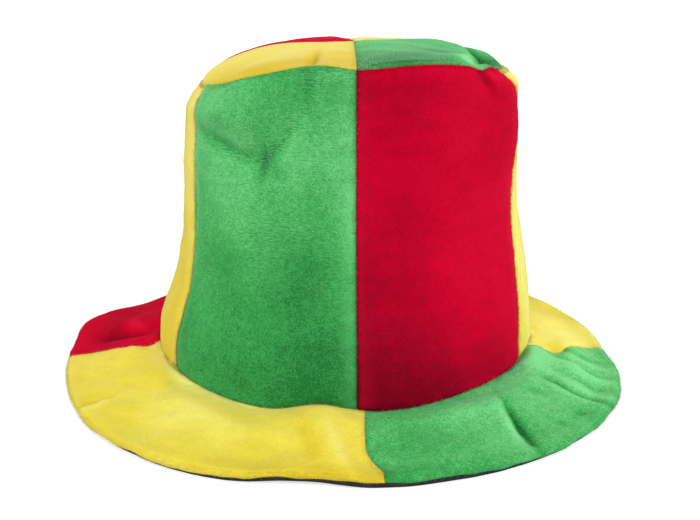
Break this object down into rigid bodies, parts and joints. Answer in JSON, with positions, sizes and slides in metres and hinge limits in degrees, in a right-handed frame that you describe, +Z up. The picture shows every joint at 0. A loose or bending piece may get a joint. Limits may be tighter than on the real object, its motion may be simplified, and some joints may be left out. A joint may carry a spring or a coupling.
{
  "type": "clown hat",
  "caption": "Soft plush top hat for a clown costume, with coloured crown panels, a quartered top and a wide quartered brim backed in dark cloth.",
  "frame": {"origin": "middle of the brim's outline, on the surface that the hat stands on", "axes": "+Z up through the crown, -Y towards the front of the hat, +X to the right as seen from the front"},
  "size_m": [0.2852, 0.288, 0.1629],
  "materials": {
    "green_plush": "short velour pile with a soft sheen",
    "red_plush": "short velour pile with a soft sheen",
    "yellow_plush": "short velour pile with a soft sheen",
    "dark_cloth": "flat woven cloth"
  },
  "bodies": {
    "root": {"crown_front_left": "green_plush", "crown_front_right": "red_plush", "crown_right": "yellow_plush", "crown_back_right": "green_plush", "crown_back_left": "red_plush", "crown_left": "yellow_plush", "top_front_left": "yellow_plush", "top_front_right": "green_plush", "top_back_right": "yellow_plush", "top_back_left": "red_plush", "brim_front_left": "yellow_plush", "brim_front_right": "green_plush", "brim_back_right": "yellow_plush", "brim_back_left": "red_plush", "brim_underside": "dark_cloth"}
  },
  "joints": []
}
